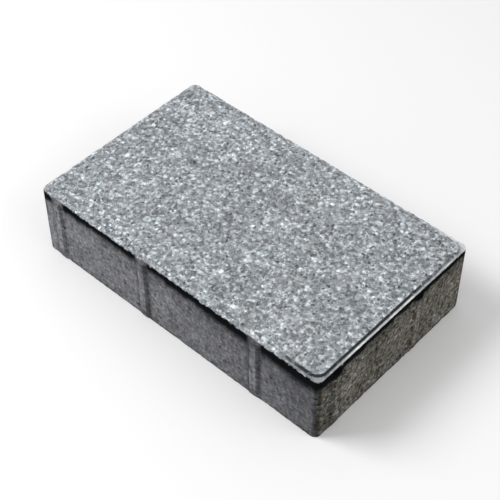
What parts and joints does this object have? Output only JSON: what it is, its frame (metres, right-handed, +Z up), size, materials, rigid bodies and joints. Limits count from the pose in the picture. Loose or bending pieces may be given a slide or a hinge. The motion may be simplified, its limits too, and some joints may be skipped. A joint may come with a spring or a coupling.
{
  "type": "concrete paving stone",
  "caption": "Rectangular cast concrete paving stone with a blasted granular face, a narrow sloped edge with a lip, and upright spacer ribs on its four sides.",
  "frame": {"origin": "middle of the bed face, level with the surface that the stone lies on", "axes": "+X along the length, +Y across the width, +Z up from the bed to the walked face"},
  "size_m": [0.26, 0.16, 0.06],
  "materials": {
    "concrete": "matt, blasted granular face and rougher mould-struck sides"
  },
  "bodies": {
    "root": {"paving_stone": "concrete"}
  },
  "joints": []
}
